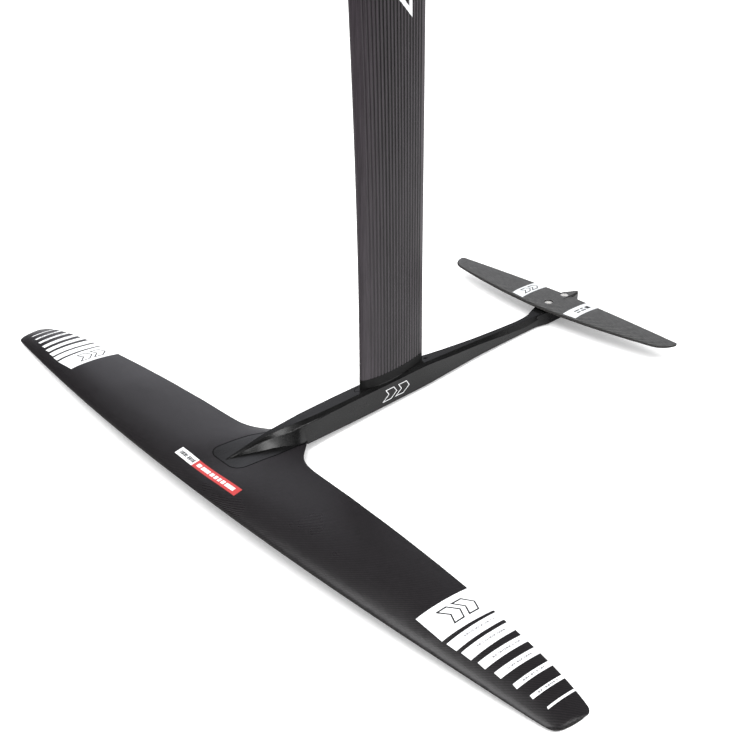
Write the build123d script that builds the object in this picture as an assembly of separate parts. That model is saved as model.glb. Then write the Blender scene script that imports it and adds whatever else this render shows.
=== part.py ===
from build123d import *
import os
from math import cos, exp, pi, sqrt

# A hydrofoil for a wing or surf foil board: front wing, fuselage, mast and rear wing.
# Millimetres. Forward is -Y, up is +Z, port is +X.
#
# Everything is drawn by station: Y runs aft from the front wing's datum and Z is the height
# above that datum. board_frame() then moves each piece so that the origin is the centre of the
# board bolts, on the top face of the base plate, above the middle of the mast's chord.

# ---- driving dimensions ----
SPAN = 999.0
REAR_SPAN = 395.0
BOARD_LEVEL = 800.0
MAST_STATION = 223.5
MAST_THICK = 19.0
KEEL = -7.0
TAIL_KEEL = -4.0
DECK = 25.5
COLLAR_TOP = 38.0
SOCKET_FLOOR = 6.0
PLATE_LONG = 188.0
PLATE_WIDE = 111.0
PLATE_THICK = 12.0
BOLT_ROWS = 165.0
BOLT_TRACKS = 90.0
SLOT_WIDE = 8.4
SLOT_LONG = 13.0

# ---- shared clearances ----
GLUE = 0.05          # bonded cups, inserts and cores
SEAM = 0.15          # tongue in its recess, all round

# ---- front wing ----
LEADING_ROOT = -90.0
TRAILING_ROOT = 32.5
LEADING_SWEEP = 41.6
TRAILING_SWEEP = 34.6
ROOT_FILLET_REACH = 44.0
ROOT_FILLET_WIDTH = 38.0
WING_THICK = 15.5
WING_CAMBER = 2.4
RAKE = 28.0          # how far the nose line turns aft along the tip
TIP_CORNER = 5.0
SKIN = 1.4
BODY_START = 72.0
FRONT_SCREWS = (-4.0, 22.0, 46.0)
CUP_HIGH = 5.0
CUP_RADIUS = 9.0

# ---- mast: grooves by share of the chord, each row a height with its nose and tail ----
GROOVES = 18
FIRST_GROOVE = 0.112
LAST_GROOVE = 0.922
GROOVE_WIDE = 0.027
GROOVE_DEEP = 0.55
TENON_INSET = 1.5
MAST_WALL = 3.2
CHAMBERS = ((178.5, 189.0), (192.0, 235.0), (238.0, 258.0))
MAST_SCREWS = (200.5, 226.5)
BLOCK_LONG = 50.0
HEAD_WEB = 6.0
HEAD_COLLAR = 22.0
HEAD_LOW = BOARD_LEVEL - PLATE_THICK - HEAD_COLLAR
FOOT_ENDS = (170.4, 277.1)
WAIST_ENDS = (172.1, 277.1)
HEAD_ENDS = (159.5, 281.0)
MAST_ROWS = ((COLLAR_TOP, FOOT_ENDS), (190.0, WAIST_ENDS), (345.0, (170.8, 278.0)),
             (485.0, (167.8, 278.5)), (HEAD_LOW, HEAD_ENDS))

# ---- rear wing and its seat ----
REAR_SCREWS = (531.6, 567.2)
REAR_CUP = 6.1
PAD_TOP = 14.5
SHIM = 1.0
SEAT = PAD_TOP + SHIM
LUG_TOP = 21.6
STERN = 598.0

# ---- M8 and M6 countersunk screws: thread, head radius, head height, key across flats ----
M8 = (4.0, 8.0, 4.4, 5.0)
M6 = (3.0, 5.5, 3.3, 4.0)


def board_frame(shape):
    """Moves a shape from station coordinates to the board-bolt origin."""
    return Pos(0, -MAST_STATION, -BOARD_LEVEL) * shape


def upright(radius, low, high, y=0.0, x=0.0):
    """Vertical cylinder between two heights."""
    return Pos(x, y, (low + high) / 2) * Cylinder(radius, high - low)


def bulge(share, aft):
    """Half thickness of a foil at a share of its chord, as a share of its greatest."""
    peak = 0.5 / (0.5 + aft)
    return sqrt(share / peak) * ((1 - share) / (1 - peak)) ** aft


def rounding(distance, radius):
    """Inset of a round corner at a distance along the edge that it ends."""
    if distance <= 0:
        return 0.0
    return radius * (1 - sqrt(1 - (distance / radius) ** 2))


# ---------------------------------------------------------------- wing sections
def front_root(x):
    """Share of the root fairing in the front wing's section, 1 at the middle."""
    return exp(-((abs(x) / ROOT_FILLET_WIDTH) ** 2.2))


def front_section(x):
    """Nose, tail, thickness, camber and aft fullness of the front wing at a span station."""
    span = x / 500.0
    root = front_root(x)
    inboard = SPAN / 2 - x
    nose_y = LEADING_ROOT + LEADING_SWEEP * span**1.9
    nose_y += RAKE * exp(-inboard / 3.0) + 2.6 * exp(-inboard / 24.0)
    tail_y = TRAILING_ROOT - TRAILING_SWEEP * span**2.2 - 2.4 * exp(-inboard / 16.0)
    tail_y += ROOT_FILLET_REACH * root - rounding(TIP_CORNER - inboard, TIP_CORNER)
    nose_z = 10.5 - 22.0 * span**1.75 - 4.0 * span**10
    tail_z = 6.5 - 10.0 * span**2 - 12.0 * span**10 - 7.5 * root
    edge_taper = 1 - 0.8 * rounding(9.0 - inboard, 9.0) / 9.0
    thick = WING_THICK * (1 - 0.75 * span**2) * edge_taper
    camber = WING_CAMBER * (1 - 0.6 * span**2)
    return (nose_y, nose_z), (tail_y, tail_z), thick, camber, 1 - 0.4 * root


def rear_section(x):
    """The same five values for the rear wing."""
    span = x / 200.0
    nose_y = 511.0 + 26.5 * span**1.74 + rounding(x - 175.6, 22.0)
    tail_y = 572.3 - 10.7 * span**1.56 - rounding(x - 193.5, 4.0)
    thick = 7.4 * (1 - 0.5 * span**2) * (1 - rounding(x - 180.0, 18.0) / 22.0)
    return (nose_y, 18.3), (tail_y, 18.9), thick, -0.3, 0.9


def foil_heights(section, share, edge):
    """Place on the chord and the lower and upper heights at a share of the chord."""
    nose, tail, thick, camber, aft = section
    y = nose[0] + share * (tail[0] - nose[0])
    middle = nose[1] + share * (tail[1] - nose[1]) + 4 * camber * share * (1 - share)
    half = thick / 2 * bulge(share, aft) + edge / 2 * share
    return y, middle - half, middle + half


def foil_wire(section, x, edge):
    """Closed wing section at a span station: one curve round the nose and a blunt tail."""
    steps = 9
    upper = []
    lower = []
    for i in range(steps + 1):
        share = (1 - cos(pi * i / steps)) / 2
        y, low, high = foil_heights(section, share, edge)
        upper.append((x, y, high))
        lower.append((x, y, low))
    around = Spline(*(upper[::-1] + lower[1:]))
    return Wire([around, Line(around @ 1, around @ 0)])


def both_sides(half):
    """A half shape and its mirror image as one solid."""
    return half + mirror(half, about=Plane.YZ)


def wing_blank(section_at, stations, edge, tip_stations=()):
    """Whole wing lofted through sections from the middle to one tip, then mirrored.

    The stations of a tip are joined by straight strips, so its tight corners stay true.
    """
    half = Solid.make_loft([foil_wire(section_at(x), x, edge) for x in stations])
    if tip_stations:
        half = half + Solid.make_loft([foil_wire(section_at(x), x, edge) for x in tip_stations], True)
    return both_sides(half)


FRONT_STATIONS = (0, 9, 18, 27, 36, 45, 54, 65, 78, 95, 120, 155, 195, 235, 275, 315, 350,
                  385, 415, 440, 460, 474, 484)
TIP_STATIONS = [SPAN / 2 - inboard for inboard in
                (15.5, 12.5, 10.0, 8.0, 6.4, 5.0, 3.8, 2.8, 1.9, 1.2, 0.6, 0.25, 0)]
REAR_STATIONS = (0, 25, 50, 75, 100, 125, 145, 162, 175, 184, 190, 194, 196.5, REAR_SPAN / 2)


# ---------------------------------------------------------------- front wing
def recess_floor(y):
    """Height of the sloping floor under the fuselage tongue."""
    return 8.5 - 7.5 * (y + 40.0) / 112.0


def recess_space(inset):
    """Space above the floor inside the tongue's outline, drawn in by an inset."""
    front = -40.0 + inset
    wide = 28.0 - inset
    rear_wide = 18.5 - inset
    rear = 75.0
    outline = FilletPolyline((-rear_wide, rear), (-wide, 18), (-wide, front), (wide, front),
                             (wide, 18), (rear_wide, rear), radius=[60, 15, 15, 60])
    plan = make_face(outline + Line(outline @ 1, outline @ 0))
    side = make_face(Polyline((-50, recess_floor(-50)), (BODY_START, recess_floor(BODY_START)),
                              (BODY_START, 60), (-50, 60), close=True))
    above = extrude(Plane.YZ * side, 60, both=True)
    return extrude(Pos(0, 0, -20) * plan, 80) & above


def belly(y):
    """Height of the front wing's underside on the middle line."""
    section = front_section(0)
    share = (y - section[0][0]) / (section[1][0] - section[0][0])
    return foil_heights(section, share, 0.8)[1]


def core(side, gap):
    """Foam core of one half, or its cavity where the gap is 0."""
    wires = []
    for x in (70, 130, 200, 270, 340, 400, 440):
        section = front_section(x)
        ends = []
        for k in range(7):
            share = 0.14 + (0.74 - 0.14) * k / 6
            y, low, high = foil_heights(section, share, 0.8)
            ends.append((y, low + SKIN + gap, high - SKIN - gap))
        top = Spline(*[(side * x, y, high) for y, low, high in ends])
        under = Spline(*[(side * x, y, low) for y, low, high in ends[::-1]])
        wires.append(Wire([top, Line(top @ 1, under @ 0), under, Line(under @ 1, top @ 0)]))
    body = Solid.make_loft(wires)
    if gap > 0:
        body = body & Box(2 * (440 - gap), 400, 100) - Box(2 * (70 + gap), 400, 100)
    return body


def front_wing(blank):
    wing = blank - recess_space(0) - Pos(0, BODY_START + 20, 0) * Box(44, 40, 60)
    wing = wing - core(1, 0) - core(-1, 0)
    for y in FRONT_SCREWS:
        wing = wing - upright(CUP_RADIUS + GLUE, KEEL - 5, belly(y) + 0.4 + CUP_HIGH + GLUE, y)
        wing = wing - upright(M8[0] + 0.4, belly(y), recess_floor(y) + 2, y)
    return wing


# ---------------------------------------------------------------- fasteners
def screw(kind, length):
    """Countersunk screw, head face down at the origin, with a hexagon socket."""
    thread, head, head_high, key = kind
    body = Pos(0, 0, head_high / 2) * Cone(head, thread - 0.1, head_high)
    body = body + upright(thread - 0.1, head_high, length)
    socket = extrude(RegularPolygon(key / 2, 6, major_radius=False), 0.6 * head_high)
    return body - socket


def cup(kind, radius, high):
    """Bonded countersunk cup, open side down at the origin."""
    thread, head, head_high, key = kind
    seat = Pos(0, 0, head_high / 2 + 0.15) * Cone(head + 0.15, thread + 0.05, head_high)
    mouth = upright(head + 0.15, -1, 0.15)
    return upright(radius, 0, high) - seat - mouth - upright(thread + 0.3, -1, high + 1)


def insert(kind, length):
    """Threaded sleeve standing on the origin."""
    return upright(kind[0] + 1.2, 0, length) - upright(kind[0], -1, length + 1)


def group(shapes):
    """Separate solids of one node."""
    return Compound(children=shapes)


def head_down(shape, y, z):
    """A fastener driven up from below."""
    return Pos(0, y, z) * shape


def head_up(shape, y, z):
    """A fastener driven down from above."""
    return Pos(0, y, z) * Rot(180, 0, 0) * shape


# ---------------------------------------------------------------- fuselage
# Each row: station, crest half-width and height, shoulder half-width and height,
# foot half-width and height, crest radius, shoulder radius.
FAIRING = ((-36, 0.4, 16.4, 0.9, 16.0, 1.6, 14.0, 0.1, 0.15),
           (-25, 1.2, 18.0, 2.2, 16.8, 3.6, 13.8, 0.3, 0.4),
           (-13, 1.7, 19.9, 3.0, 18.0, 6.4, 13.4, 0.4, 0.8),
           (2, 2.2, 22.2, 4.0, 19.3, 12.2, 11.6, 0.5, 1.2),
           (20, 3.2, 24.4, 5.6, 20.4, 15.2, 9.6, 0.5, 2.0),
           (42, 4.5, 25.5, 9.4, 20.3, 19.0, 6.2, 0.5, 2.4),
           (57, 5.6, 25.6, 11.4, 20.6, 20.2, 3.4, 0.5, 2.4),
           (BODY_START, 6.6, DECK, 12.5, 21.2, 15.8, 1.0, 0.5, 2.2))
BODY = ((BODY_START, 6.6, DECK, 12.5, 21.2, 15.6, TAIL_KEEL, 0.5, 2.2),
        (90, 7.7, DECK, 13.1, 21.5, 14.7, -5.0, 0.5, 1.6),
        (112, 8.4, DECK, 13.1, 21.9, 13.8, -5.9, 0.4, 0.9),
        (174, 8.4, DECK, 12.7, 22.5, 12.7, KEEL, 0.4, 0.5),
        (230, 8.4, DECK, 12.4, 22.5, 12.0, KEEL, 0.4, 0.5),
        (282, 8.3, DECK, 11.8, 22.0, 11.3, -6.7, 0.4, 0.5),
        (304, 7.0, 23.6, 10.8, 19.6, 10.5, -6.1, 0.4, 0.6),
        (338, 5.4, 20.9, 9.0, 15.9, 9.0, -5.3, 0.4, 0.9),
        (375, 4.3, 18.0, 7.4, 12.5, 7.6, -4.6, 0.4, 1.0),
        (415, 4.0, 15.3, 7.0, 8.6, 7.3, TAIL_KEEL, 0.4, 1.0),
        (455, 4.0, 12.9, 6.9, 5.0, 7.2, TAIL_KEEL, 0.4, 1.0),
        (484, 4.6, 12.3, 7.2, 4.6, 7.4, TAIL_KEEL, 0.4, 1.0),
        (500, 6.4, 13.2, 8.4, 8.0, 8.0, TAIL_KEEL, 0.4, 0.8),
        (512, 8.6, PAD_TOP, 10.6, 11.0, 9.8, TAIL_KEEL, 0.4, 0.8))


def hull_wire(row):
    """Cross section of the fuselage with rounded crest edges and shoulders."""
    y, crest, crest_z, shoulder, shoulder_z, foot, foot_z, crest_round, shoulder_round = row
    corners = [(foot, y, foot_z), (shoulder, y, shoulder_z), (crest, y, crest_z),
               (-crest, y, crest_z), (-shoulder, y, shoulder_z), (-foot, y, foot_z)]
    rounds = [0.0, shoulder_round, crest_round, crest_round, shoulder_round, 0.0]
    return Wire(FilletPolyline(*corners, radius=rounds, close=True).edges())


def pad():
    """Block that the rear wing sits on, pointed at the stern and cut up underneath."""
    plan = FilletPolyline((-7.6, 498), (-12.5, 518), (-12.5, 548), (-1.6, STERN),
                          (1.6, STERN), (12.5, 548), (12.5, 518), (7.6, 498),
                          radius=[10, 30, 1.2, 1.2, 30, 10])
    plan = make_face(plan + Line(plan @ 1, plan @ 0))
    block = extrude(Pos(0, 0, TAIL_KEEL) * plan, PAD_TOP - TAIL_KEEL)
    rake = make_face(Polyline((578, TAIL_KEEL - 1), (STERN + 1, 3), (STERN + 1, TAIL_KEEL - 1),
                              close=True))
    ramp = make_face(Polyline((490, 11.0), (514, PAD_TOP), (514, 30), (490, 30), close=True))
    return block - extrude(Plane.YZ * rake, 30, both=True) - extrude(Plane.YZ * ramp, 30, both=True)


def mast_half(y, ends):
    """Half thickness of the mast at a station, between its nose and tail."""
    share = (y - ends[0]) / (ends[1] - ends[0])
    return MAST_THICK / 2 * bulge(share, 0.85) + 0.6 * share


def mast_plan(ends, grow):
    """Plain mast outline between two ends, grown or drawn in all round."""
    steps = 11
    port = []
    for i in range(steps + 1):
        share = (1 - cos(pi * i / steps)) / 2
        half = (MAST_THICK / 2 + grow) * bulge(share, 0.85) + (0.6 + 0.3 * max(grow, 0)) * share
        port.append((half, ends[0] - grow + share * (ends[1] - ends[0] + 2 * grow)))
    around = Spline(*(port[::-1] + [(-x, y) for x, y in port[1:]]))
    return make_face(around + Line(around @ 1, around @ 0))


def fuselage(blank):
    hull = Solid.make_loft([hull_wire(row) for row in BODY])
    fairing = Solid.make_loft([hull_wire(row) for row in FAIRING])
    tongue = blank & recess_space(SEAM)
    body = hull + fairing + tongue + pad()
    collar = extrude(Pos(0, 0, DECK - 6) * mast_plan(FOOT_ENDS, 0), COLLAR_TOP - DECK + 6)
    socket = extrude(Pos(0, 0, SOCKET_FLOOR) * mast_plan(FOOT_ENDS, GLUE - TENON_INSET), 60)
    body = body + collar - socket
    for y in FRONT_SCREWS:
        low = recess_floor(y) + 0.6
        body = body - upright(M8[0] + 1.2 + GLUE, low - 6, low + 8.5, y)
    for y in MAST_SCREWS:
        body = body - upright(M8[0] + 0.4, KEEL - 1, SOCKET_FLOOR + 1, y)
        body = body - Pos(0, y, KEEL + 2) * Cone(M8[1] + 1.1, M8[0] + 0.3, 6.0)
    for y in REAR_SCREWS:
        body = body - upright(M6[0] + 1.2 + GLUE, PAD_TOP - 11, PAD_TOP + 1, y)
    return body


# ---------------------------------------------------------------- mast
def fluted_wire(height, ends):
    """Mast section with round grooves down both faces between plain edges."""
    chord = ends[1] - ends[0]
    port = []
    last = None
    for k in range(GROOVES):
        share = FIRST_GROOVE + (LAST_GROOVE - FIRST_GROOVE) * k / (GROOVES - 1)
        fore, centre, aft = [ends[0] + chord * (share + shift * GROOVE_WIDE / 2)
                             for shift in (-1, 0, 1)]
        start = (mast_half(fore, ends), fore)
        end = (mast_half(aft, ends), aft)
        if last:
            port.append(Line(last, start))
        port.append(ThreePointArc(start, (mast_half(centre, ends) - GROOVE_DEEP, centre), end))
        last = end
    port.append(Line(last, (0.6, ends[1])))
    nose = [(mast_half(y, ends), y) for y in [ends[0] + chord * s for s in (0.06, 0.026, 0.007)]]
    nose = [tuple(port[0] @ 0)[:2]] + nose
    bow = Spline(*(nose + [(0, ends[0])] + [(-x, y) for x, y in nose[::-1]]))
    starboard = [mirror(edge, about=Plane.YZ) for edge in port]
    blunt = Line((0.6, ends[1]), (-0.6, ends[1]))
    outline = port + [blunt] + starboard[::-1] + [bow]
    return Pos(0, 0, height) * Wire([edge for piece in outline for edge in piece.edges()])


def chamber(ends, gap):
    """Hollow of the mast between two webs, drawn in by a gap."""
    first = ends[0] + gap
    last = ends[1] - gap
    places = [first + (last - first) * k / 6 for k in range(7)]
    wall = MAST_WALL + gap
    port = Spline(*[(mast_half(y, WAIST_ENDS) - wall, y) for y in places])
    other = Spline(*[(wall - mast_half(y, WAIST_ENDS), y) for y in places[::-1]])
    return make_face(port + Line(port @ 1, other @ 0) + other + Line(other @ 1, port @ 0))


def mast():
    """Hollow shaft with a plain tenon at each end."""
    head = BOARD_LEVEL - HEAD_WEB
    shaft = Solid.make_loft([fluted_wire(height, ends) for height, ends in MAST_ROWS])
    foot_plan = Pos(0, 0, SOCKET_FLOOR) * mast_plan(FOOT_ENDS, -TENON_INSET)
    head_plan = Pos(0, 0, HEAD_LOW) * mast_plan(HEAD_ENDS, -TENON_INSET)
    body = shaft + extrude(foot_plan, COLLAR_TOP - SOCKET_FLOOR) + extrude(head_plan, head - HEAD_LOW)
    for ends in CHAMBERS:
        body = body - extrude(Pos(0, 0, SOCKET_FLOOR - 1) * chamber(ends, 0), head)
    return body


def mast_foam(ends, low, high):
    """Foam that fills a chamber between two heights."""
    return extrude(Pos(0, 0, low) * chamber(ends, GLUE), high - low)


def mast_block(low):
    """Metal block in the middle chamber, bored for two thread inserts."""
    block = extrude(Pos(0, 0, low) * chamber(CHAMBERS[1], GLUE), BLOCK_LONG)
    for y in MAST_SCREWS:
        block = block - upright(M8[0] + 1.2 + GLUE, low - 1, low + BLOCK_LONG + 1, y)
    return block


# ---------------------------------------------------------------- base plate
def base_plate():
    blank = Pos(0, MAST_STATION) * RectangleRounded(PLATE_WIDE, PLATE_LONG, 18)
    plate = extrude(Pos(0, 0, BOARD_LEVEL - PLATE_THICK) * blank, PLATE_THICK)
    plate = chamfer(plate.faces().sort_by(Axis.Z)[0].edges(), 3)
    collar = Pos(0, 0, HEAD_LOW) * mast_plan(HEAD_ENDS, 4)
    pocket = Pos(0, 0, HEAD_LOW) * mast_plan(HEAD_ENDS, GLUE - TENON_INSET)
    plate = plate + extrude(collar, HEAD_COLLAR + 1)
    plate = plate - extrude(pocket, HEAD_COLLAR + PLATE_THICK - HEAD_WEB)
    slot = extrude(SlotOverall(SLOT_LONG, SLOT_WIDE), 40)
    for x in (-BOLT_TRACKS / 2, BOLT_TRACKS / 2):
        for y in (-BOLT_ROWS / 2, BOLT_ROWS / 2):
            plate = plate - Pos(x, MAST_STATION + y, BOARD_LEVEL - 30) * slot
    for y in MAST_SCREWS:
        plate = plate - upright(M8[0] + 0.4, BOARD_LEVEL - 20, BOARD_LEVEL + 1, y)
        cone = Rot(180, 0, 0) * Cone(M8[1] + 0.3, M8[0] + 0.3, 5.0)
        plate = plate - Pos(0, y, BOARD_LEVEL - 2.5) * cone
    return plate


# ---------------------------------------------------------------- rear wing
def rear_wing(blank):
    seat_plan = Pos(0, 544) * RectangleRounded(23, 54, 5)
    seat = extrude(Pos(0, 0, SEAT) * seat_plan, 18.5 - SEAT)
    lug_plan = FilletPolyline((-7.5, 545), (-7.5, 571), (-1.5, STERN - 0.5), (1.5, STERN - 0.5),
                              (7.5, 571), (7.5, 545), radius=[30, 1.1, 1.1, 30])
    lug = extrude(Pos(0, 0, SEAT) * make_face(lug_plan + Line(lug_plan @ 1, lug_plan @ 0)), 10)
    over = make_face(Polyline((530, LUG_TOP), (572, LUG_TOP - 0.3), (STERN + 1, SEAT + 1.4),
                              (STERN + 1, 40), (530, 40), close=True))
    lug = lug - extrude(Plane.YZ * over, 20, both=True)
    wing = blank + seat + lug - Pos(0, 544, SEAT - 5) * Box(60, 120, 10)
    for y in REAR_SCREWS:
        wing = wing - upright(REAR_CUP + GLUE, LUG_TOP - 1.0 - 4.0, LUG_TOP + 5, y)
        wing = wing - upright(M6[0] + 0.3, SEAT - 1, LUG_TOP, y)
    return wing


def rear_shim():
    plate = extrude(Pos(0, 544, PAD_TOP) * RectangleRounded(22, 52, 5), SHIM)
    for y in REAR_SCREWS:
        plate = plate - upright(M6[0] + 0.4, PAD_TOP - 1, SEAT + 1, y)
    return plate


# ---------------------------------------------------------------- the whole foil
def fastener_nodes():
    """Screws, cups and inserts, one node for each kind and place."""
    nodes = {}
    bellies = [(y, belly(y) + 0.4) for y in FRONT_SCREWS]
    nodes["front_wing_cups"] = [head_down(cup(M8, CUP_RADIUS, CUP_HIGH), y, z) for y, z in bellies]
    nodes["front_wing_screws"] = [head_down(screw(M8, 13.5), y, z + 0.15) for y, z in bellies]
    nodes["front_wing_inserts"] = [head_down(insert(M8, 8.4), y, recess_floor(y) + 0.6)
                                   for y in FRONT_SCREWS]
    lug_cup = LUG_TOP - 1.0
    nodes["rear_wing_cups"] = [head_up(cup(M6, REAR_CUP, 4.0), y, lug_cup) for y in REAR_SCREWS]
    nodes["rear_wing_screws"] = [head_up(screw(M6, 15.0), y, lug_cup - 0.15) for y in REAR_SCREWS]
    nodes["rear_wing_inserts"] = [head_down(insert(M6, 10.0), y, PAD_TOP - 10.8) for y in REAR_SCREWS]
    head = BOARD_LEVEL - HEAD_WEB
    nodes["mast_foot_screws"] = [head_down(screw(M8, 30), y, KEEL + 0.3) for y in MAST_SCREWS]
    nodes["mast_foot_inserts"] = [head_down(insert(M8, 20), y, SOCKET_FLOOR + 1) for y in MAST_SCREWS]
    nodes["mast_head_screws"] = [head_up(screw(M8, 26), y, BOARD_LEVEL - 0.3) for y in MAST_SCREWS]
    nodes["mast_head_inserts"] = [head_up(insert(M8, 20), y, head - 1) for y in MAST_SCREWS]
    return {name: group(shapes) for name, shapes in nodes.items()}


def all_nodes():
    front = wing_blank(front_section, FRONT_STATIONS, 0.8, TIP_STATIONS)
    rear = wing_blank(rear_section, REAR_STATIONS, 0.7)
    head = BOARD_LEVEL - HEAD_WEB
    nodes = {
        "front_wing": front_wing(front),
        "front_wing_core_port": core(1, GLUE),
        "front_wing_core_starboard": core(-1, GLUE),
        "fuselage": fuselage(front),
        "mast": mast(),
        "mast_foot_block": mast_block(SOCKET_FLOOR),
        "mast_head_block": mast_block(head - BLOCK_LONG),
        "mast_foam_fore": mast_foam(CHAMBERS[0], SOCKET_FLOOR, head),
        "mast_foam_middle": mast_foam(CHAMBERS[1], SOCKET_FLOOR + BLOCK_LONG, head - BLOCK_LONG),
        "mast_foam_aft": mast_foam(CHAMBERS[2], SOCKET_FLOOR, head),
        "base_plate": base_plate(),
        "rear_wing": rear_wing(rear),
        "rear_wing_shim": rear_shim(),
    }
    nodes.update(fastener_nodes())
    return nodes


os.makedirs("parts", exist_ok=True)
for name, shape in all_nodes().items():
    export_step(board_frame(shape), "parts/" + name + ".step")
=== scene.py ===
import math
import random

import bmesh
import bpy
import numpy
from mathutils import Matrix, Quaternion, Vector
from mathutils.bvhtree import BVHTree


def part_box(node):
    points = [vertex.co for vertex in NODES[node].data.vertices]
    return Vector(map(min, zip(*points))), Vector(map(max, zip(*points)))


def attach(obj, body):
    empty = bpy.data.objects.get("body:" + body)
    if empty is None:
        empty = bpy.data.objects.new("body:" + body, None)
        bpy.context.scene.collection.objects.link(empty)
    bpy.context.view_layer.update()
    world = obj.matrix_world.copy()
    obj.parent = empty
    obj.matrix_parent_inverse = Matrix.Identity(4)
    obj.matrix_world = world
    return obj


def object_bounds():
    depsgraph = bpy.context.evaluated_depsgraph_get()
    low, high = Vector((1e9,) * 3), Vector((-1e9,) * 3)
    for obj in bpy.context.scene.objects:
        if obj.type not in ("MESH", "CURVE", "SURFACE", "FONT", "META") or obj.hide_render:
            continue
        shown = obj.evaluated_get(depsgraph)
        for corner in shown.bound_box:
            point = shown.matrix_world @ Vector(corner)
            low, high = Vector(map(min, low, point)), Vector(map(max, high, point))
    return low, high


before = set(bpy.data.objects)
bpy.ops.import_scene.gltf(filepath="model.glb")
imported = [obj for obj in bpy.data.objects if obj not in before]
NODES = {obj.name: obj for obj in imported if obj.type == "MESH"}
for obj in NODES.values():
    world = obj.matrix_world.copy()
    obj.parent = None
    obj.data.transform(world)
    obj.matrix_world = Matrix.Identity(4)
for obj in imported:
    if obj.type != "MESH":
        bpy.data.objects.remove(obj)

cad_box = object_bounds()

MM = 0.001

# Stations: Y aft of the front wing's datum and Z above it, in millimetres. The wing's nose lies
# WING_NOSE ahead of the datum, and the lowest screw heads lie KEEL_SCREWS below it.
WING_NOSE = 90
KEEL_SCREWS = 6.7
DATUM_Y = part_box("front_wing")[0].y + WING_NOSE * MM
DATUM_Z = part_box("mast_foot_screws")[0].z + KEEL_SCREWS * MM


def place(x, y, z):
    """A point of the row frame from millimetres across, station and height."""
    return Vector((x * MM, DATUM_Y + y * MM, DATUM_Z + z * MM))


def in_scene(name, data):
    obj = bpy.data.objects.new(name, data)
    bpy.context.scene.collection.objects.link(obj)
    return obj


# ------------------------------------------------------------------ materials
class Graph:
    """A node tree built by short calls. An input is a number, a colour or another's output."""

    def __init__(self, tree):
        self.tree = tree
        tree.nodes.clear()

    def node(self, kind, output, inputs=None, **settings):
        node = self.tree.nodes.new(kind)
        for name, value in settings.items():
            setattr(node, name, value)
        for name, value in (inputs or {}).items():
            if isinstance(value, bpy.types.NodeSocket):
                self.tree.links.new(value, node.inputs[name])
            else:
                node.inputs[name].default_value = value
        return node.outputs[output]

    def math(self, operation, a, b=0.0, c=0.0):
        return self.node("ShaderNodeMath", 0, {0: a, 1: b, 2: c}, operation=operation)

    def spread(self, value, low, high, out_low=0.0, out_high=1.0, **settings):
        inputs = {0: value, 1: low, 2: high, 3: out_low, 4: out_high}
        return self.node("ShaderNodeMapRange", 0, inputs, **settings)

    def axes(self, vector):
        return self.node("ShaderNodeSeparateXYZ", 0, {0: vector}).node.outputs

    def blend(self, factor, first, second):
        return self.node("ShaderNodeMixShader", 0, {0: factor, 1: first, 2: second})


class Finish(Graph):
    """A material with one Principled shader, whose constants are set on its own sockets."""

    def __init__(self, name, **sockets):
        self.mat = bpy.data.materials.new(name)
        self.mat.use_nodes = True
        super().__init__(self.mat.node_tree)
        constants = {socket.replace("_", " "): value for socket, value in sockets.items()}
        self.surface = self.node("ShaderNodeBsdfPrincipled", 0, constants)
        self.out = self.tree.nodes.new("ShaderNodeOutputMaterial")
        self.show(self.surface)
        self.place = self.node("ShaderNodeTexCoord", "Object")

    def show(self, surface):
        self.tree.links.new(surface, self.out.inputs[0])

    def set(self, socket, value):
        self.tree.links.new(value, self.surface.node.inputs[socket])

    def tilt(self):
        """How far the surface faces up."""
        return self.axes(self.node("ShaderNodeNewGeometry", "Normal"))[2]

    def stretched(self, scale):
        return self.node("ShaderNodeMapping", 0, {0: self.place, "Scale": scale})

    def noise(self, scale, detail=3.0, rough=0.5, place=None):
        inputs = {"Vector": place or self.place, "Scale": scale, "Detail": detail,
                  "Roughness": rough}
        return self.node("ShaderNodeTexNoise", 0, inputs)

    def mix(self, factor, first, second):
        return self.node("ShaderNodeMix", 2, {0: factor, 6: first, 7: second}, data_type="RGBA")

    def bump(self, height, distance, strength):
        inputs = {"Height": height, "Distance": distance, "Strength": strength}
        self.set("Normal", self.node("ShaderNodeBump", 0, inputs))

    def curve(self, value, weights):
        """A polynomial of a value, its highest power first."""
        total = float(weights[0])
        for weight in weights[1:]:
            total = self.math("MULTIPLY_ADD", value, total, float(weight))
        return total


def grey(value, warm=0.0):
    return (value * (1 + warm), value, value * (1 - warm), 1.0)


def scaled(colour, factor):
    return tuple(c * factor for c in colour[:3]) + (1.0,)


def twill(finish, across, along, tow):
    """2x2 twill: which tow is on top, and the height of the cloth."""
    u = finish.math("DIVIDE", across, tow)
    v = finish.math("DIVIDE", along, tow)
    step = finish.math("SUBTRACT", finish.math("FLOOR", u), finish.math("FLOOR", v))
    warp_up = finish.math("LESS_THAN", finish.math("FLOORED_MODULO", step, 4.0), 1.5)
    round_u = finish.math("PINGPONG", u, 0.5)
    round_v = finish.math("PINGPONG", v, 0.5)
    crown_u = finish.math("POWER", finish.math("MULTIPLY", round_u, 2.0), 0.5)
    crown_v = finish.math("POWER", finish.math("MULTIPLY", round_v, 2.0), 0.5)
    height = finish.node("ShaderNodeMix", 0, {0: warp_up, 2: crown_v, 3: crown_u})
    return warp_up, height


# The underside's base colours. On the rear wing, whose top is much paler, they are a painted shade
# along its downward-facing edges and tips.
UNDERSIDE_DARK = grey(0.002)
UNDERSIDE_LIGHT = grey(0.034, 0.06)
UNDERSIDE_MATT = 0.4


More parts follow.
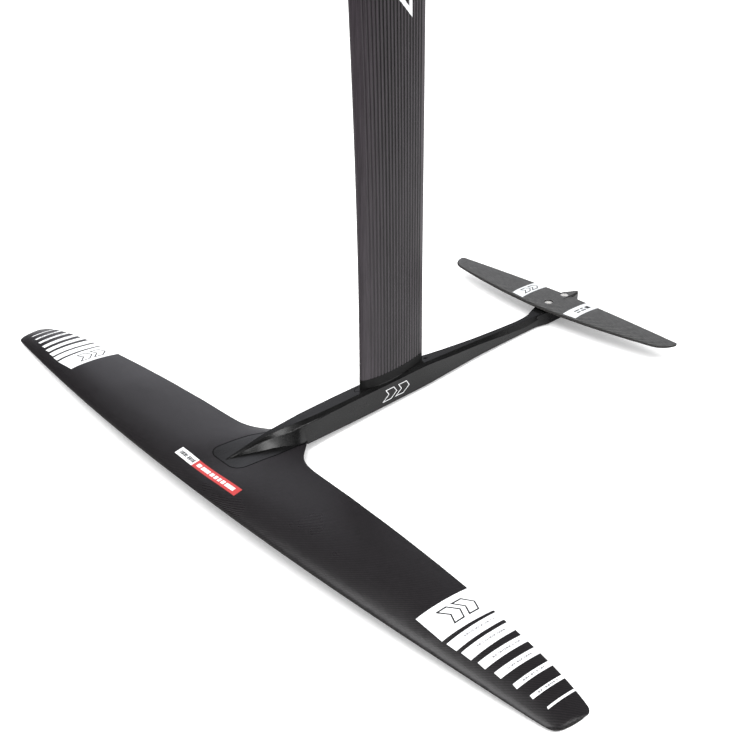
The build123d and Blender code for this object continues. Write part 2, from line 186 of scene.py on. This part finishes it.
def carbon(name, tow, dark, light, rough, index, edge):
    """Clear-coated carbon twill laid along a wing's span, its checker partly painted sheen and
    shade, and more matt on its underside, whose base colour on a pale wing is a painted shade.

    edge is how far the surface faces up where the top's finish starts to give way, and where
    the underside's takes over.
    """
    f = Finish(name, IOR=index)
    x, y, z = f.axes(f.place)
    warp_up, height = twill(f, x, y, tow)
    tows = f.noise(1.0 / tow, 1.0, place=f.stretched((0.2, 1.0, 1.0)))
    # The weave's light and dark in the base colour is partly painted light. Warp tows are paler
    # than weft tows, a painted sheen for how differently they reflect. Each tow darkens towards
    # its edges, a painted shade. The noise along the tows is their own tone.
    shade = f.math("MULTIPLY", f.spread(warp_up, 0.0, 1.0, 0.25, 0.75),
                   f.spread(tows, 0.3, 0.7, 0.7, 1.3))
    shade = f.math("MULTIPLY", shade, f.spread(height, 0.0, 1.0, 0.45, 1.0))
    # Where the surface faces down, the base colour turns to the underside's and grows more matt.
    # On the paler rear wing this is a painted shade along its edges and tips.
    under = f.spread(f.tilt(), edge[0], edge[1])
    f.set("Base Color", f.mix(under, f.mix(shade, dark, light),
                              f.mix(shade, UNDERSIDE_DARK, UNDERSIDE_LIGHT)))
    haze = f.noise(9.0, 4.0)
    rough_now = f.spread(haze, 0.3, 0.7, rough - 0.04, rough + 0.05)
    rough_now = f.math("ADD", rough_now, f.math("MULTIPLY", under, UNDERSIDE_MATT))
    f.set("Roughness", f.math("ADD", rough_now, f.math("MULTIPLY", warp_up, 0.05)))
    f.bump(height, 0.00005, 0.5)
    return f.mat


# Height where the fuselage's more matt collar for the mast begins.
COLLAR_LEVEL = 25.8
COLLAR_MATT = 0.5


def satin_hull():
    """Satin black moulded carbon: slight orange peel and faint streaks."""
    f = Finish("satin_hull", IOR=1.44)
    x, y, z = f.axes(f.place)
    collar = f.math("GREATER_THAN", z, DATUM_Z + COLLAR_LEVEL * MM)
    streaks = f.noise(40.0, 4.0, place=f.stretched((8.0, 1.0, 8.0)))
    skin = f.mix(f.spread(streaks, 0.3, 0.7), grey(0.0025), grey(0.006))
    f.set("Base Color", f.mix(collar, skin, grey(0.0015)))
    haze = f.noise(14.0, 5.0, 0.6)
    f.set("Roughness", f.math("ADD", f.spread(haze, 0.3, 0.7, 0.22, 0.30),
                              f.math("MULTIPLY", collar, COLLAR_MATT)))
    f.bump(f.noise(900.0, 2.0), 0.00002, 0.5)
    return f.mat


# The mast's grooves: how many, where the first and last lie as shares of the chord, and rows of
# a height with the stations of the mast's nose and tail there.
GROOVES = 18
GROOVE_SHARES = (0.112, 0.922)
MAST_ROWS = ((38.0, 170.4, 277.1), (190.0, 172.1, 277.1), (345.0, 170.8, 278.0),
             (485.0, 167.8, 278.5), (766.0, 159.5, 281.0))
ROW_UNIT = 400.0
# Where the painted shade in the middle of the grooves ends and where the rib beside each begins,
# as shares of the pitch, and how it fades in over the grooves nearest to the nose: two counts
# along the grooves and the strength at each.
GROOVE_SHADE_EDGE = (0.14, 0.32)
GROOVE_SHADE_FADE_IN = (-1.0, 5.0, 0.1, 1.0)
FIBRES_DARK = (0.0195, 0.016, 0.0185, 1)
FIBRES_LIGHT = (0.043, 0.035, 0.042, 1)


def fluted_mast():
    """Matt black mast skin: pale lengthwise fibres on the ribs and painted shade in the grooves.
    """
    f = Finish("fluted_mast", IOR=1.44)
    x, y, z = f.axes(f.place)
    height = f.spread(z, DATUM_Z, DATUM_Z + ROW_UNIT * MM, clamp=False)
    station = f.spread(y, DATUM_Y, DATUM_Y + MM, clamp=False)
    levels = [row[0] / ROW_UNIT for row in MAST_ROWS]
    nose, tail = [f.curve(height, numpy.polyfit(levels, [row[k] for row in MAST_ROWS], 4))
                  for k in (1, 2)]
    share = f.math("DIVIDE", f.math("SUBTRACT", station, nose), f.math("SUBTRACT", tail, nose))
    pitch = (GROOVE_SHARES[1] - GROOVE_SHARES[0]) / (GROOVES - 1)
    count = f.math("DIVIDE", f.math("SUBTRACT", share, GROOVE_SHARES[0]), pitch)
    grooved = f.math("MULTIPLY", f.math("GREATER_THAN", count, -0.5),
                     f.math("LESS_THAN", count, GROOVES - 0.5))
    from_middle = f.math("PINGPONG", count, 0.5)
    # Painted shade: near-black base colour in the middle of the grooves, where shade falls, fading
    # in over the grooves nearest to the nose.
    groove_shade = f.math("MULTIPLY", grooved, f.spread(from_middle, *GROOVE_SHADE_EDGE, 1.0, 0.0))
    groove_shade = f.math("MULTIPLY", groove_shade, f.spread(count, *GROOVE_SHADE_FADE_IN))
    fibres = f.noise(900.0, 3.0, 0.6, place=f.stretched((1.0, 1.0, 0.02)))
    rib = f.mix(f.spread(fibres, 0.3, 0.7), FIBRES_DARK, FIBRES_LIGHT)
    f.set("Base Color", f.mix(groove_shade, rib, grey(0.0015)))
    f.set("Roughness", f.spread(f.noise(12.0, 4.0), 0.3, 0.7, 0.3, 0.4))
    f.bump(fibres, 0.00003, 0.4)
    return f.mat


def metal(name, colour, rough, grain, stretch, gleam=1.0):
    """Bare metal with a brushed grain. gleam is its share of mirror to plain reflection."""
    f = Finish(name, Metallic=gleam)
    lines = f.noise(grain, 4.0, 0.6, place=f.stretched(stretch))
    wear = f.noise(60.0, 5.0, 0.6)
    f.set("Base Color", f.mix(f.spread(wear, 0.35, 0.75), colour, scaled(colour, 0.72)))
    f.set("Roughness", f.spread(lines, 0.3, 0.7, rough - 0.06, rough + 0.1))
    f.bump(lines, 0.00001, 0.5)
    return f.mat


def anodised():
    """Black anodised, bead-blasted aluminium."""
    f = Finish("anodised_plate", Metallic=0.6, IOR=1.5)
    haze = f.noise(20.0, 4.0)
    f.set("Base Color", f.mix(f.spread(haze, 0.3, 0.7), grey(0.014), grey(0.026)))
    f.set("Roughness", f.spread(haze, 0.3, 0.7, 0.4, 0.52))
    f.bump(f.noise(2600.0, 2.0), 0.00002, 0.6)
    return f.mat


def foam():
    """Closed-cell structural foam."""
    f = Finish("core_foam", Roughness=0.9)
    cells = f.node("ShaderNodeTexVoronoi", 0, {"Vector": f.place, "Scale": 1400.0})
    f.set("Base Color", f.mix(f.spread(cells, 0.0, 0.7), (0.45, 0.36, 0.2, 1),
                              (0.75, 0.66, 0.45, 1)))
    f.bump(cells, 0.0003, 0.8)
    return f.mat


def moulded(name, colour, index=1.47):
    """Moulded plastic with a fine matt texture."""
    f = Finish(name, IOR=index)
    grain = f.noise(1500.0, 3.0)
    f.set("Base Color", f.mix(f.spread(grain, 0.3, 0.7), colour, scaled(colour, 1.6)))
    f.set("Roughness", f.spread(grain, 0.3, 0.7, 0.5, 0.62))
    f.bump(grain, 0.00003, 0.5)
    return f.mat


TOW = 0.0009
REAR_TOW = 0.0014


def print_ink(name, colour):
    """Printed film under the lacquer: the cloth below shows through as a faint relief."""
    f = Finish(name, Coat_Weight=0.2, Coat_Roughness=0.3, IOR=1.48)
    x, y, z = f.axes(f.place)
    speck = f.noise(700.0, 3.0)
    f.set("Base Color", f.mix(f.spread(speck, 0.35, 0.75), colour, scaled(colour, 0.93)))
    f.set("Roughness", f.spread(speck, 0.3, 0.7, 0.38, 0.47))
    f.bump(twill(f, x, y, TOW)[1], 0.00003, 0.3)
    return f.mat


FINISH = {
    "carbon_weave": carbon("wing_carbon", TOW, grey(0.002), (0.0225, 0.0195, 0.022, 1),
                           0.31, 1.41, (0.8, 0.5)),
    "hull_black": satin_hull(),
    "mast_black": fluted_mast(),
    "plate_black": anodised(),
    "foam": foam(),
    "block_aluminium": metal("block_metal", (0.62, 0.63, 0.65, 1), 0.35, 900.0, (1, 1, 0.05)),
    "screw_steel": metal("screw_metal", (0.95, 0.94, 0.92, 1), 0.25, 1800.0, (1, 1, 0.3),
                         0.65),
    "bushing_steel": metal("cup_metal", (0.58, 0.58, 0.58, 1), 0.3, 2200.0, (1, 1, 0.2)),
    "insert_steel": metal("insert_metal", (0.5, 0.5, 0.5, 1), 0.32, 1500.0, (1, 1, 4)),
    "shim_black": moulded("shim_plastic", grey(0.014)),
}
for node in NODES.values():
    slot_name = node.data.materials[0].name.split(".")[0]
    node.material_slots[0].link = "OBJECT"
    node.material_slots[0].material = FINISH[slot_name]

# The rear wing's copy of the carbon has a far paler top, painted light for how much brighter it
# looks than the front wing. Its tow size and roughness are its own.
NODES["rear_wing"].material_slots[0].material = carbon(
    "rear_wing_lit_carbon", REAR_TOW, grey(0.010), grey(0.14), 0.42, 1.5, (0.975, 0.92))

INK_WHITE = print_ink("ink_white", (0.80, 0.81, 0.82, 1))
INK_PALE = print_ink("ink_pale", (0.66, 0.68, 0.695, 1))
INK_RED = print_ink("ink_red", (0.42, 0.034, 0.034, 1))
INK_BLACK = print_ink("ink_black", (0.012, 0.012, 0.014, 1))
INK_GREY = print_ink("ink_grey", (0.22, 0.22, 0.23, 1))
SEAM_FILL = moulded("seam_filler", grey(0.001), 1.2)


# ------------------------------------------------------------------ prints that follow a surface
# Sides that a film is seen from. The lines that find its surface start out there, clear of the
# foil, from this height or this far across in millimetres.
OUTWARD = {"top": Vector((0, 0, 1)), "port": Vector((1, 0, 0)), "starboard": Vector((-1, 0, 0))}
START_HEIGHT = 200
START_ACROSS = 60
# How far a film rises above its surface, in metres, and how far a line looks to either side of
# itself where the surface has an open joint.
FILM = 0.00009
OVER_FILM = 0.00016
OVER_RIBS = 0.00012
IN_SEAM = 0.00005
SEAM_GAP = 0.0006
# Corners closer than this many millimetres are one, and edges sharper than this angle stay so.
JOIN_WITHIN = 0.004
SHARP_ANGLE = math.radians(50)
TREES = {}


def tree_of(node):
    if node not in TREES:
        TREES[node] = BVHTree.FromObject(NODES[node], bpy.context.evaluated_depsgraph_get())
    return TREES[node]


def surface(nodes, start, way, reach):
    """First point of these CAD nodes along a line, or the outermost of a few lines round it."""
    best = None
    shifts = [Vector((0, 0, 0))]
    if reach:
        sides = [Vector((0, 1, 0)), way.cross(Vector((0, 1, 0)))]
        shifts += [side * reach * sign for side in sides for sign in (-1, 1)]
    for node in nodes:
        for shift in shifts:
            hit = tree_of(node).ray_cast(start + shift, way)
            if hit[0] is not None and (best is None or hit[3] < best):
                best = hit[3]
    return None if best is None else start + way * best


def cut_up(film, cell):
    """Cut a flat mesh into strips of a cell's width both ways, so that it can bend."""
    for axis in (0, 1):
        low = min(v.co[axis] for v in film.verts)
        high = max(v.co[axis] for v in film.verts)
        normal = Vector((1, 0, 0)) if axis == 0 else Vector((0, 1, 0))
        for k in range(1, int((high - low) / cell[axis]) + 1):
            geometry = film.verts[:] + film.edges[:] + film.faces[:]
            bmesh.ops.bisect_plane(film, geom=geometry, dist=1e-5, plane_no=normal,
                                   plane_co=normal * (low + k * cell[axis]))


def lay(film, nodes, facing, lift, reach):
    """Move a flat mesh's points onto CAD nodes, and drop those that miss."""
    inward = -OUTWARD[facing]
    lost = []
    for v in film.verts:
        if facing == "top":
            start = place(v.co.x, v.co.y, START_HEIGHT)
        else:
            start = place(-START_ACROSS * inward.x, v.co.y, v.co.x)
        hit = surface(nodes, start, inward, reach)
        if hit is None:
            lost.append(v)
        else:
            v.co = hit + inward * lift
    bmesh.ops.delete(film, geom=lost, context="VERTS")


def wrap(name, polygons, nodes, facing, cell, ink, lift=FILM, reach=0.0):
    """Thin film cut to polygons of (across or height, station) and laid on CAD nodes.

    facing is the side it is seen from. The film starts lift under the surface and ends as far
    above it, so that its edges are closed.
    """
    film = bmesh.new()
    for polygon in polygons:
        film.faces.new([film.verts.new((a, b, 0)) for a, b in polygon])
    bmesh.ops.remove_doubles(film, verts=film.verts, dist=JOIN_WITHIN)
    cut_up(film, cell)
    lay(film, nodes, facing, lift, reach)
    out = OUTWARD[facing]
    film.normal_update()
    for face in film.faces:
        if face.normal.dot(out) < 0:
            face.normal_flip()
    top = bmesh.ops.extrude_face_region(film, geom=film.faces[:])
    raised = [v for v in top["geom"] if isinstance(v, bmesh.types.BMVert)]
    bmesh.ops.translate(film, verts=raised, vec=out * 2 * lift)
    bmesh.ops.recalc_face_normals(film, faces=film.faces)
    mesh = bpy.data.meshes.new(name)
    film.to_mesh(mesh)
    film.free()
    for face in mesh.polygons:
        face.use_smooth = True
    mesh.set_sharp_from_angle(angle=SHARP_ANGLE)
    mesh.materials.append(ink)
    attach(in_scene(name, mesh), "root")


# A stroke's corner reaches out no further than half its width divided by this.
MITRE_LIMIT = 0.35


def ribbon(points, width, closed=True):
    """Quads of a mitred stroke along a line of points."""
    points = [Vector(p) for p in points]
    count = len(points)
    inner, outer = [], []
    for i, p in enumerate(points):
        back = points[i - 1] if closed or i > 0 else p
        ahead = points[(i + 1) % count] if closed or i < count - 1 else p
        ways = [w.normalized() for w in (p - back, ahead - p) if w.length > 0]
        way = sum(ways, Vector((0, 0))).normalized()
        side = Vector((-way.y, way.x))
        reach = width / 2 / max(MITRE_LIMIT, abs(side.dot(Vector((-ways[0].y, ways[0].x)))))
        inner.append(p - side * reach)
        outer.append(p + side * reach)
    pairs = range(count) if closed else range(count - 1)
    return [[tuple(inner[i]), tuple(inner[(i + 1) % count]), tuple(outer[(i + 1) % count]),
             tuple(outer[i])] for i in pairs]


def strokes(outlines, width):
    return [quad for outline in outlines for quad in ribbon(outline, width)]


def sided(polygons, sign):
    """The port side's polygons as they are, or mirrored to starboard for a sign of -1."""
    return [[(sign * a, b) for a, b in polygon] for polygon in polygons]


def trailing_edge(x):
    """Station of the front wing's trailing edge outside its root."""
    return 32.5 - 34.6 * (abs(x) / 500) ** 2.2 - 2.4 * math.exp((abs(x) - 499.5) / 16)


# Where the stripes start across, and how far prints stay off a trailing edge.
PRINT_START = 328
EDGE_INSET = 0.1


def border(x):
    """Station of the line that the printed stripes start from."""
    beyond = x - PRINT_START
    return -52 + 19 * beyond / 147 - 5.2 * min(1, beyond / 30) + 0.034 * max(0, beyond - 60)


def stripe(x0, x1, lean0, lean1, slant):
    """One stripe from the border line to the trailing edge; its border end lies further in."""
    steps = 6
    tail = [x1 + (x0 - x1) * k / steps for k in range(steps + 1)]
    start = [(x0 - lean0, border(x0 - lean0) + slant), (x1 - lean1, border(x1 - lean1) - slant)]
    return start + [(x, trailing_edge(x) - EDGE_INSET) for x in tail]


def chevrons(centre, length, height, lean):
    """Two outlined chevrons one behind the other: a plain pattern that belongs to nobody."""
    step = length / 2
    arm = step * 0.62
    tip = step * 0.34
    outlines = []
    for base in (-step, 0.0):
        shape = [(base, -height / 2), (base + arm, -height / 2), (base + arm + tip, 0),
                 (base + arm, height / 2), (base, height / 2), (base + tip, 0)]
        outlines.append([(centre[0] + b, centre[1] + a + lean * b) for a, b in shape])
    return outlines


def dashes(start, end, seed, size):
    """Row of short ticks between two points, in groups, where small print would be."""
    dice = random.Random(seed)
    start, end = Vector(start), Vector(end)
    way = (end - start).normalized()
    side = Vector((-way.y, way.x)) * size[1] / 2
    total = (end - start).length
    at = 0.0
    quads = []
    while at < total - 1.5:
        run = size[0] * dice.choice((1.0, 1.4, 2.0, 2.6))
        a, b = start + way * at, start + way * (at + run)
        quads.append([tuple(a - side), tuple(b - side), tuple(b + side), tuple(a + side)])
        at += run + (2.4 if dice.random() < 0.22 else 0.6)
    return quads


# Each stripe: its two edges across at the tail, how far each leans inboard at the border, and
# the slant of its border end.
STRIPES = ((PRINT_START, 365.6, 0, 2.2, 0), (368.7, 380.4, 0.3, 0.3, 0.3),
           (384.8, 396.6, 0.3, 0.3, 0.6), (404.3, 413.6, 2, 2, 0.9),
           (422.2, 430.4, 2.4, 2.4, 0.7), (441.0, 446.8, 2, 2, 0.9),
           (458.8, 463.0, 2, 2, 0.6), (475.5, 477.7, 1.5, 1.5, 0.7))
SIDES = (("port", 1), ("starboard", -1))
WING_MARK = strokes(chevrons((346, -10), 40, 20, 0.2), 1.7)
STRIPE_TICKS = []
for k, row in enumerate(STRIPES[1:7]):
    centre = (row[0] + row[1]) / 2
    STRIPE_TICKS += dashes((centre - 1.5, border(centre) + 18 - 2 * k),
                           (centre - 0.3, trailing_edge(centre) - 7), 7 + k, (1.0, 1.9))
for side, sign in SIDES:
    for piece, shapes, cell, ink, lift in (
            ("stripes", [stripe(*row) for row in STRIPES], 3, INK_WHITE, FILM),
            ("mark", WING_MARK, 3, INK_BLACK, OVER_FILM),
            ("ticks", STRIPE_TICKS, 4, INK_GREY, OVER_FILM)):
        wrap("front_wing_" + piece + "_" + side, sided(shapes, sign), ["front_wing"], "top",
             (cell, cell), ink, lift)

# Label ahead of the fuselage's nose: white and red parts with slanted ends, and plain ticks.
LABEL = (-69.5, -57.1)
LABEL_LEAN = 1.0
LABEL_ENDS = (-52.8, -19.5, 62.5)
LABEL_MIDDLE = sum(LABEL) / 2


def label_part(x0, x1):
    return [[(x0, LABEL[1]), (x1, LABEL[1]), (x1 + LABEL_LEAN, LABEL[0]),
             (x0 + LABEL_LEAN, LABEL[0])]]


def label_ticks(x0, x1, seed, size):
    return dashes((x0, LABEL_MIDDLE), (x1, LABEL_MIDDLE), seed, size)


for piece, shapes, ink, lift in (
        ("white", label_part(*LABEL_ENDS[:2]), INK_WHITE, FILM),
        ("red", label_part(*LABEL_ENDS[1:]), INK_RED, FILM),
        ("ticks_dark", label_ticks(-48, -22, 3, (0.9, 5.2)), INK_BLACK, OVER_FILM),
        ("ticks_white", label_ticks(-14, 59, 4, (1.0, 5.2)), INK_WHITE, OVER_FILM)):
    wrap("front_wing_label_" + piece, shapes, ["front_wing"], "top", (3, 2), ink,
         lift)


def fillet(corners, radii, steps=8):
    """Open line of points with its inner corners rounded."""
    points = [Vector(c) for c in corners]
    line = [points[0]]
    for before, corner, after, radius in zip(points, points[1:], points[2:], radii):
        a, b = (before - corner).normalized(), (after - corner).normalized()
        half = math.acos(max(-1, min(1, a.dot(b)))) / 2
        cut = radius / math.tan(half)
        centre = corner + (a + b).normalized() * radius / math.sin(half)
        first, last = corner + a * cut - centre, corner + b * cut - centre
        turn = first.angle_signed(last)
        for k in range(steps + 1):
            angle = -turn * k / steps
            c, s = math.cos(angle), math.sin(angle)
            line.append(centre + Vector((first.x * c - first.y * s, first.x * s + first.y * c)))
    return line + [points[-1]]


# Fine dark joint where the fuselage's tongue is let into the wing.
TONGUE = fillet([(-18.7, 73.5), (-28, 18), (-28, -40), (28, -40), (28, 18), (18.7, 73.5)],
                [60, 15, 15, 60])
wrap("tongue_seam", ribbon(TONGUE, 1.3, closed=False), ["front_wing", "fuselage"], "top",
     (3, 3), SEAM_FILL, IN_SEAM, SEAM_GAP)

# Fine lip ahead of the mast's nose and the notch behind its tail, on the fuselage's crest.
LIP = [(5.2, 171.5), (4.3, 165), (0, 161), (-4.3, 165), (-5.2, 171.5)]
NOTCH = [(0, 280), (2.4, 283.5), (0, 289), (-2.4, 283.5)]
wrap("mast_foot_lip", ribbon(LIP, 0.8, closed=False), ["fuselage"], "top", (2, 2), SEAM_FILL,
     IN_SEAM)
wrap("mast_foot_notch", [NOTCH], ["fuselage"], "top", (2, 2), SEAM_FILL, IN_SEAM)

# Marks on the fuselage's flanks and on the mast's faces.
HULL_MARK = strokes(chevrons((7.5, 222), 44, 15, 0.35), 0.9)
MAST_MARK = strokes([[(469, 250.8), (539, 250.8), (579, 210.8), (509, 210.8)]], 5.0)
for side, sign in SIDES:
    wrap("fuselage_mark_" + side, HULL_MARK, ["fuselage"], side, (2, 3), INK_WHITE)
    wrap("mast_mark_" + side, MAST_MARK, ["mast"], side, (6, 0.5), INK_WHITE,
         OVER_RIBS)


def rear_trailing_edge(x):
    """Station of the rear wing's trailing edge, a little inside it."""
    return 572.3 - 10.7 * (x / 200) ** 1.56 - EDGE_INSET


# Pale bands on the rear wing, with ticks and a square to port and chevrons to starboard.
BAND = (37.3, 58)
BAND_SHAPE = [[(BAND[0], 518), (BAND[1], 520), (BAND[1], rear_trailing_edge(BAND[1])),
               (BAND[0], rear_trailing_edge(BAND[0]))]]
BAND_PRINTS = {
    "port": dashes((45.5, 533), (45.5, 552), 11, (1.4, 2.6))
    + dashes((50.5, 533), (50.5, 552), 12, (1.4, 2.6))
    + [[(44.5, 555), (51.5, 555), (51.5, 562.5), (44.5, 562.5)]],
    "starboard": strokes(chevrons((47.6, 547), 32, 12, 0.2), 1.5),
}
for side, sign in SIDES:
    wrap("rear_wing_band_" + side, sided(BAND_SHAPE, sign), ["rear_wing"], "top", (3, 3),
         INK_PALE)
    wrap("rear_wing_ticks_" + side, sided(BAND_PRINTS[side], sign), ["rear_wing"], "top", (3, 3),
         INK_BLACK, OVER_FILM)


# ------------------------------------------------------------------ stage, light and camera
# The backdrop that glossy surfaces reflect. Its strength is a product of fades, each along an axis
# of the direction looked in: where the fade starts and ends on it, and its value at both.
AFT_PORT = (0.5, 0.866)
FADES = (("z", 0.53, 0.66, 0.78, 0.02),        # a dark ceiling
         ("y", 0.2, 0.43, 0.02, 1.0),          # dark ahead of the foil, where the viewer is
         ("aft_port", 0.17, 0.32, 1.0, 0.35),  # dimmer past its edge aft and to port
         ("x", 0.1, 0.6, 1.0, 0.1),            # dark to port
         ("z", -0.25, 0.0, 0.1, 1.0))          # dark below
BACKDROP_TINT = (0.97, 0.975, 1.06, 1)
WHITE = (1, 1, 1, 1)
# Strength of the white that other surfaces are lit by, and of the white that the camera sees.
WASH = 1.3
BACKGROUND_SEEN = 1.2
# The paper's own faint light, and its colour in reflections.
FLOOR_GLOW = 0.2
FLOOR_REFLECTED = (0.6, 0.6, 0.605, 1)
# The paper's corners, in metres across and along from a point between the front wing's tips. Its
# long edge runs just outside the camera's view.
PAPER = ((-9, -10.8), (8.6, 9), (-9, 9))
PAPER_GAP = 0.0004
# Soft lights: name, azimuth from +Y towards +X, elevation, size in metres and radiance.
SOFTBOXES = (("top_box", 182, 70, 1.4, 6.5), ("side_box", 66, 42, 0.6, 9.0))
SOFTBOX_DISTANCE = 2.2
# Camera: across, station and height; degrees round from the nose, up and rolled; focal length.
CAMERA_PLACE = (886.92, -598.81, 725.41)
CAMERA_ANGLES = (48.447, 29.828, -1.105)
CAMERA_LENS = 53.54
CAMERA_SENSOR = 36


def floor():
    """Sheet of pale paper through the points that the foil rests on: both tips and the tail.

    It is clear from below, and its reflection in the glossy hull is dimmed.
    """
    tips = Vector((0, place(0, -30, 0).y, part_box("front_wing")[0].z))
    tail = place(0, 578, -4)
    along = (tail - tips).normalized()
    across = Vector((1, 0, 0))
    start = tips - across.cross(along) * PAPER_GAP
    corners = [start + across * a + along * b for a, b in PAPER]
    mesh = bpy.data.meshes.new("floor")
    mesh.from_pydata([tuple(c) for c in corners], [], [(0, 1, 2)])
    f = Finish("floor_paper", Roughness=0.95, Specular_IOR_Level=0.1,
               Emission_Color=WHITE, Emission_Strength=FLOOR_GLOW)
    speckle = f.noise(30.0, 3.0)
    f.set("Base Color", f.mix(speckle, (0.88, 0.88, 0.885, 1), (0.9, 0.9, 0.9, 1)))
    dull = f.node("ShaderNodeBsdfDiffuse", 0, {"Color": FLOOR_REFLECTED})
    paper = f.blend(f.node("ShaderNodeLightPath", "Is Glossy Ray"), f.surface, dull)
    clear = f.node("ShaderNodeBsdfTransparent", 0)
    f.show(f.blend(f.node("ShaderNodeNewGeometry", "Backfacing"), paper, clear))
    mesh.materials.append(f.mat)
    in_scene("floor", mesh)


def direction(azimuth, elevation):
    """Unit vector at an azimuth from +Y towards +X and an elevation, in radians."""
    return Vector((math.sin(azimuth) * math.cos(elevation),
                   math.cos(azimuth) * math.cos(elevation), math.sin(elevation)))


def softbox(name, azimuth, elevation, size, radiance):
    """Square soft light that looks at the foil's lowest middle."""
    light = bpy.data.lights.new(name, "AREA")
    light.size = size
    light.energy = radiance * math.pi * size * size
    obj = in_scene(name, light)
    way = direction(math.radians(azimuth), math.radians(elevation))
    obj.location = Vector((0, 0, cad_box[0].z)) + way * SOFTBOX_DISTANCE
    obj.rotation_mode = "QUATERNION"
    obj.rotation_quaternion = way.to_track_quat("Z", "Y")
    obj.visible_camera = False


def studio():
    """White studio. Glossy surfaces see the backdrop, the camera plain white, the rest a wash."""
    world = bpy.data.worlds.new("studio")
    bpy.context.scene.world = world
    world.use_nodes = True
    g = Graph(world.node_tree)
    x, y, z = g.axes(g.node("ShaderNodeTexCoord", "Generated"))
    aft_port = g.math("MULTIPLY_ADD", x, AFT_PORT[0], g.math("MULTIPLY", y, AFT_PORT[1]))
    axes = {"x": x, "y": y, "z": z, "aft_port": aft_port}
    fades = [g.spread(axes[axis], *fade, interpolation_type="SMOOTHSTEP")
             for axis, *fade in FADES]
    strength = fades[0]
    for fade in fades[1:]:
        strength = g.math("MULTIPLY", strength, fade)
    reflected = g.node("ShaderNodeBackground", 0, {0: BACKDROP_TINT, 1: strength})
    wash = g.node("ShaderNodeBackground", 0, {0: WHITE, 1: WASH})
    shown = g.node("ShaderNodeBackground", 0, {0: WHITE, 1: BACKGROUND_SEEN})
    unseen = g.blend(g.node("ShaderNodeLightPath", "Is Glossy Ray"), wash, reflected)
    light = g.blend(g.node("ShaderNodeLightPath", "Is Camera Ray"), unseen, shown)
    out = g.tree.nodes.new("ShaderNodeOutputWorld")
    g.tree.links.new(light, out.inputs[0])
    for box in SOFTBOXES:
        softbox(*box)


def camera():
    """Camera ahead of the foil and to port, looking down on it."""
    azimuth, elevation, roll = [math.radians(a) for a in CAMERA_ANGLES]
    back = direction(math.pi - azimuth, elevation)
    data = bpy.data.cameras.new("camera")
    data.sensor_width = CAMERA_SENSOR
    data.lens = CAMERA_LENS
    data.clip_start = 0.02
    data.clip_end = 100.0
    obj = in_scene("camera", data)
    obj.location = place(*CAMERA_PLACE)
    obj.rotation_mode = "QUATERNION"
    obj.rotation_quaternion = (-back).to_track_quat("-Z", "Y") @ Quaternion((0, 0, 1), roll)
    bpy.context.scene.camera = obj


floor()
studio()
camera()
bpy.context.scene.view_settings.view_transform = "Standard"
